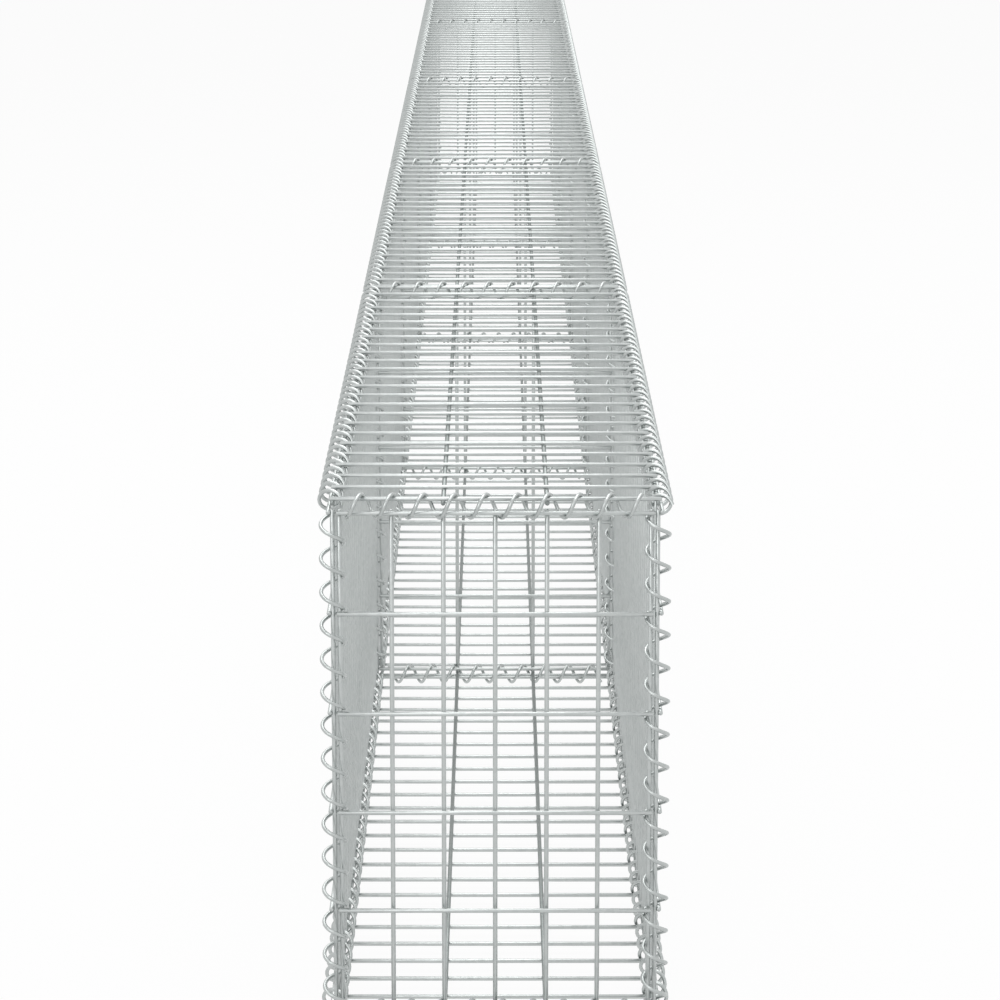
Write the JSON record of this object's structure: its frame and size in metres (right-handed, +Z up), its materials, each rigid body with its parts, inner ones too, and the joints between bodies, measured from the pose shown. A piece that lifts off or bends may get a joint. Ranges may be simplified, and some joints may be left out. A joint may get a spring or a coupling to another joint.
{
  "type": "gabion wall",
  "caption": "Long low wall of empty welded-mesh gabion baskets in a row, with covers and dividers laced by wire coils, to be filled with stone.",
  "frame": {"origin": "middle of the wall's footprint, on the plane that its base coils stand on", "axes": "+X across the wall to the right seen from the front end, +Y along the wall from the front end, +Z up"},
  "size_m": [0.3448, 6.0752, 0.5409],
  "materials": {
    "mesh_wire": "hot-dip galvanised, dull grey",
    "coil_wire": "galvanised, a little brighter than the mesh"
  },
  "bodies": {
    "root": {"cover_1": "mesh_wire", "cover_2": "mesh_wire", "cover_3": "mesh_wire", "cover_4": "mesh_wire", "cover_5": "mesh_wire", "base_1": "mesh_wire", "base_2": "mesh_wire", "base_3": "mesh_wire", "base_4": "mesh_wire", "base_5": "mesh_wire", "left_side_1": "mesh_wire", "left_side_2": "mesh_wire", "left_side_3": "mesh_wire", "left_side_4": "mesh_wire", "left_side_5": "mesh_wire", "right_side_1": "mesh_wire", "right_side_2": "mesh_wire", "right_side_3": "mesh_wire", "right_side_4": "mesh_wire", "right_side_5": "mesh_wire", "front_end": "mesh_wire", "back_end": "mesh_wire", "divider_1": "mesh_wire", "divider_2": "mesh_wire", "divider_3": "mesh_wire", "divider_4": "mesh_wire", "cover_edge_coils_1": "coil_wire", "cover_edge_coils_2": "coil_wire", "cover_edge_coils_3": "coil_wire", "cover_edge_coils_4": "coil_wire", "cover_edge_coils_5": "coil_wire", "base_edge_coils_1": "coil_wire", "base_edge_coils_2": "coil_wire", "base_edge_coils_3": "coil_wire", "base_edge_coils_4": "coil_wire", "base_edge_coils_5": "coil_wire", "left_upright_coils": "coil_wire", "right_upright_coils": "coil_wire", "cover_cross_coils": "coil_wire", "base_cross_coils": "coil_wire"}
  },
  "joints": []
}
